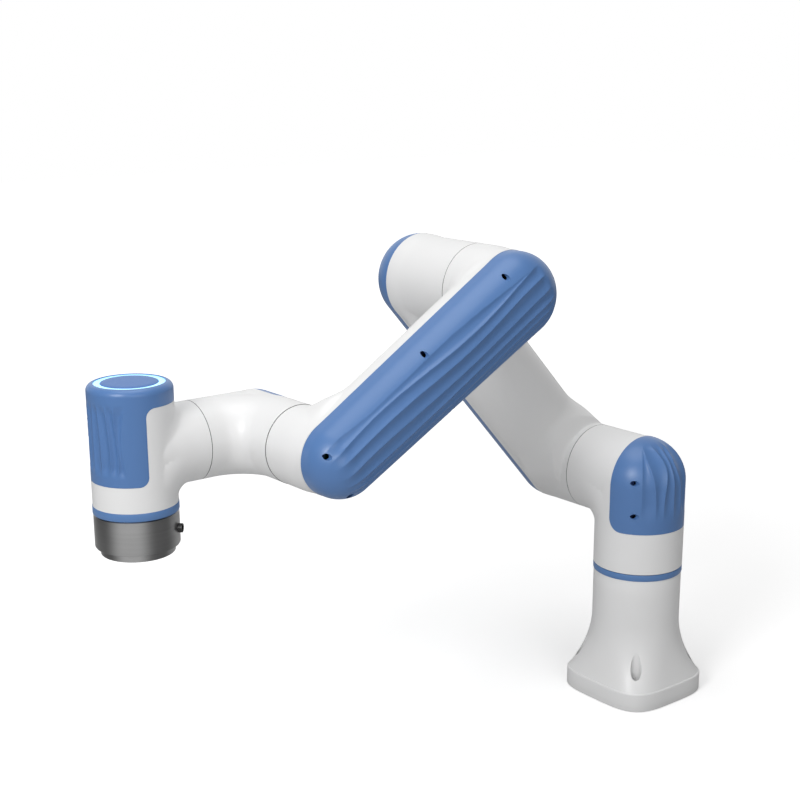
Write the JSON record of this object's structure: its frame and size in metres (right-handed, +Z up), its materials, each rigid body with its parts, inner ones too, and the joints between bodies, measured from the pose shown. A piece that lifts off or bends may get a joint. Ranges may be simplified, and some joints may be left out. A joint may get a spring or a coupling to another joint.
{
  "type": "collaborative robot arm",
  "caption": "Six-axis collaborative robot arm on a flared base, with white shells, sculpted blue covers, a light ring and a metal tool flange.",
  "frame": {"origin": "centre of the base's underside, on the base joint's axis and at the centre of the base bolt pattern", "axes": "+Z up along the base joint's axis; +Y along the shoulder, elbow and wrist-pitch axes; at rest the arm reaches towards -X"},
  "size_m": [0.5948, 0.2123, 0.4737],
  "materials": {
    "white_shell": "satin",
    "blue_cover": "satin",
    "blue_trim": "satin",
    "blue_button": "satin",
    "cover_screw_steel": "satin",
    "turned_flange": "satin",
    "black_connector": "matte",
    "light_ring_diffuser": "gloss",
    "bottom_plate_aluminium": "satin",
    "gear_steel": "satin",
    "output_steel": "satin",
    "rotor_steel": "satin",
    "stator_iron": "matte",
    "brake_body": "matte",
    "circuit_board": "satin"
  },
  "bodies": {
    "base": {"base_housing": "white_shell", "base_bottom_plate": "bottom_plate_aluminium", "base_plate_screws": "cover_screw_steel", "base_trim_ring": "blue_trim", "base_cable_socket": "black_connector", "j1_gear_ring": "gear_steel", "j1_stator": "stator_iron", "j1_brake": "brake_body", "j1_drive_board": "circuit_board"},
    "shoulder": {"shoulder_housing": "white_shell", "shoulder_cover": "blue_cover", "shoulder_cover_screws": "cover_screw_steel", "j1_output_flange": "output_steel", "j2_gear_ring": "gear_steel", "j2_stator": "stator_iron", "j2_brake": "brake_body", "j2_drive_board": "circuit_board"},
    "upper_arm": {"upper_arm_housing": "white_shell", "upper_arm_cover": "blue_cover", "upper_arm_cover_screws": "cover_screw_steel", "j2_output_flange": "output_steel", "j3_gear_ring": "gear_steel", "j3_stator": "stator_iron", "j3_brake": "brake_body", "j3_drive_board": "circuit_board"},
    "forearm": {"forearm_housing": "white_shell", "forearm_cover": "blue_cover", "forearm_cover_screws": "cover_screw_steel", "j3_output_flange": "output_steel", "j4_gear_ring": "gear_steel", "j4_stator": "stator_iron", "j4_brake": "brake_body", "j4_drive_board": "circuit_board"},
    "wrist_1": {"wrist_1_housing": "white_shell", "wrist_1_cover": "blue_cover", "wrist_1_cover_screws": "cover_screw_steel", "j4_output_flange": "output_steel", "j5_gear_ring": "gear_steel", "j5_stator": "stator_iron", "j5_brake": "brake_body", "j5_drive_board": "circuit_board"},
    "wrist_2": {"wrist_2_housing": "white_shell", "wrist_2_cover": "blue_cover", "wrist_trim_ring": "blue_trim", "light_ring": "light_ring_diffuser", "j5_output_flange": "output_steel", "j6_gear_ring": "gear_steel", "j6_stator": "stator_iron", "j6_brake": "brake_body", "j6_drive_board": "circuit_board"},
    "tool_flange": {"tool_flange": "turned_flange", "tool_connector": "black_connector", "j6_output_flange": "output_steel"},
    "j1_rotor": {"j1_rotor": "rotor_steel"},
    "j2_rotor": {"j2_rotor": "rotor_steel"},
    "j3_rotor": {"j3_rotor": "rotor_steel"},
    "j4_rotor": {"j4_rotor": "rotor_steel"},
    "j5_rotor": {"j5_rotor": "rotor_steel"},
    "j6_rotor": {"j6_rotor": "rotor_steel"},
    "teach_button": {"teach_button": "blue_button"}
  },
  "joints": [
    {"name": "base_turn", "type": "hinge", "parent": "base", "child": "shoulder", "pos_m": [0, 0, 0], "axis": [0, 0, 1], "range_deg": [-360, 360]},
    {"name": "shoulder_lift", "type": "hinge", "parent": "shoulder", "child": "upper_arm", "pos_m": [0, 0, 0.2234], "axis": [0, 1, 0], "range_deg": [-108, 192]},
    {"name": "elbow_bend", "type": "hinge", "parent": "upper_arm", "child": "forearm", "pos_m": [-0.18736, 0, 0.43148], "axis": [0, -1, 0], "range_deg": [-227.8, 77.2]},
    {"name": "wrist_pitch", "type": "hinge", "parent": "forearm", "child": "wrist_1", "pos_m": [-0.38062, 0, 0.31627], "axis": [0, 1, 0], "range_deg": [-360, 360]},
    {"name": "wrist_turn", "type": "hinge", "parent": "wrist_1", "child": "wrist_2", "pos_m": [-0.38062, 0.1175, 0.31627], "axis": [-1, 0, 0], "range_deg": [-360, 360]},
    {"name": "flange_turn", "type": "hinge", "parent": "wrist_2", "child": "tool_flange", "pos_m": [-0.50062, 0.1175, 0.31627], "axis": [0, 0, -1], "range_deg": [-360, 360]},
    {"name": "j1_rotor_spin", "type": "hinge", "parent": "base", "child": "j1_rotor", "pos_m": [0, 0, 0], "axis": [0, 0, 1], "continuous": true},
    {"name": "j2_rotor_spin", "type": "hinge", "parent": "shoulder", "child": "j2_rotor", "pos_m": [0, 0, 0.2234], "axis": [0, 1, 0], "continuous": true},
    {"name": "j3_rotor_spin", "type": "hinge", "parent": "upper_arm", "child": "j3_rotor", "pos_m": [-0.18736, 0, 0.43148], "axis": [0, -1, 0], "continuous": true},
    {"name": "j4_rotor_spin", "type": "hinge", "parent": "forearm", "child": "j4_rotor", "pos_m": [-0.38062, 0, 0.31627], "axis": [0, 1, 0], "continuous": true},
    {"name": "j5_rotor_spin", "type": "hinge", "parent": "wrist_1", "child": "j5_rotor", "pos_m": [-0.38062, 0.1175, 0.31627], "axis": [-1, 0, 0], "continuous": true},
    {"name": "j6_rotor_spin", "type": "hinge", "parent": "wrist_2", "child": "j6_rotor", "pos_m": [-0.50062, 0.1175, 0.31627], "axis": [0, 0, -1], "continuous": true},
    {"name": "button_press", "type": "slide", "parent": "wrist_2", "child": "teach_button", "axis": [0, 0, -1], "range_m": [0, 0.0012], "stiffness_N_per_m": 1500, "springref_m": -0.0006}
  ],
  "couplings": [
    {"joint": "j1_rotor_spin", "follows": "base_turn", "ratio": -100},
    {"joint": "j2_rotor_spin", "follows": "shoulder_lift", "ratio": -100},
    {"joint": "j3_rotor_spin", "follows": "elbow_bend", "ratio": -100},
    {"joint": "j4_rotor_spin", "follows": "wrist_pitch", "ratio": -100},
    {"joint": "j5_rotor_spin", "follows": "wrist_turn", "ratio": -100},
    {"joint": "j6_rotor_spin", "follows": "flange_turn", "ratio": -100}
  ]
}
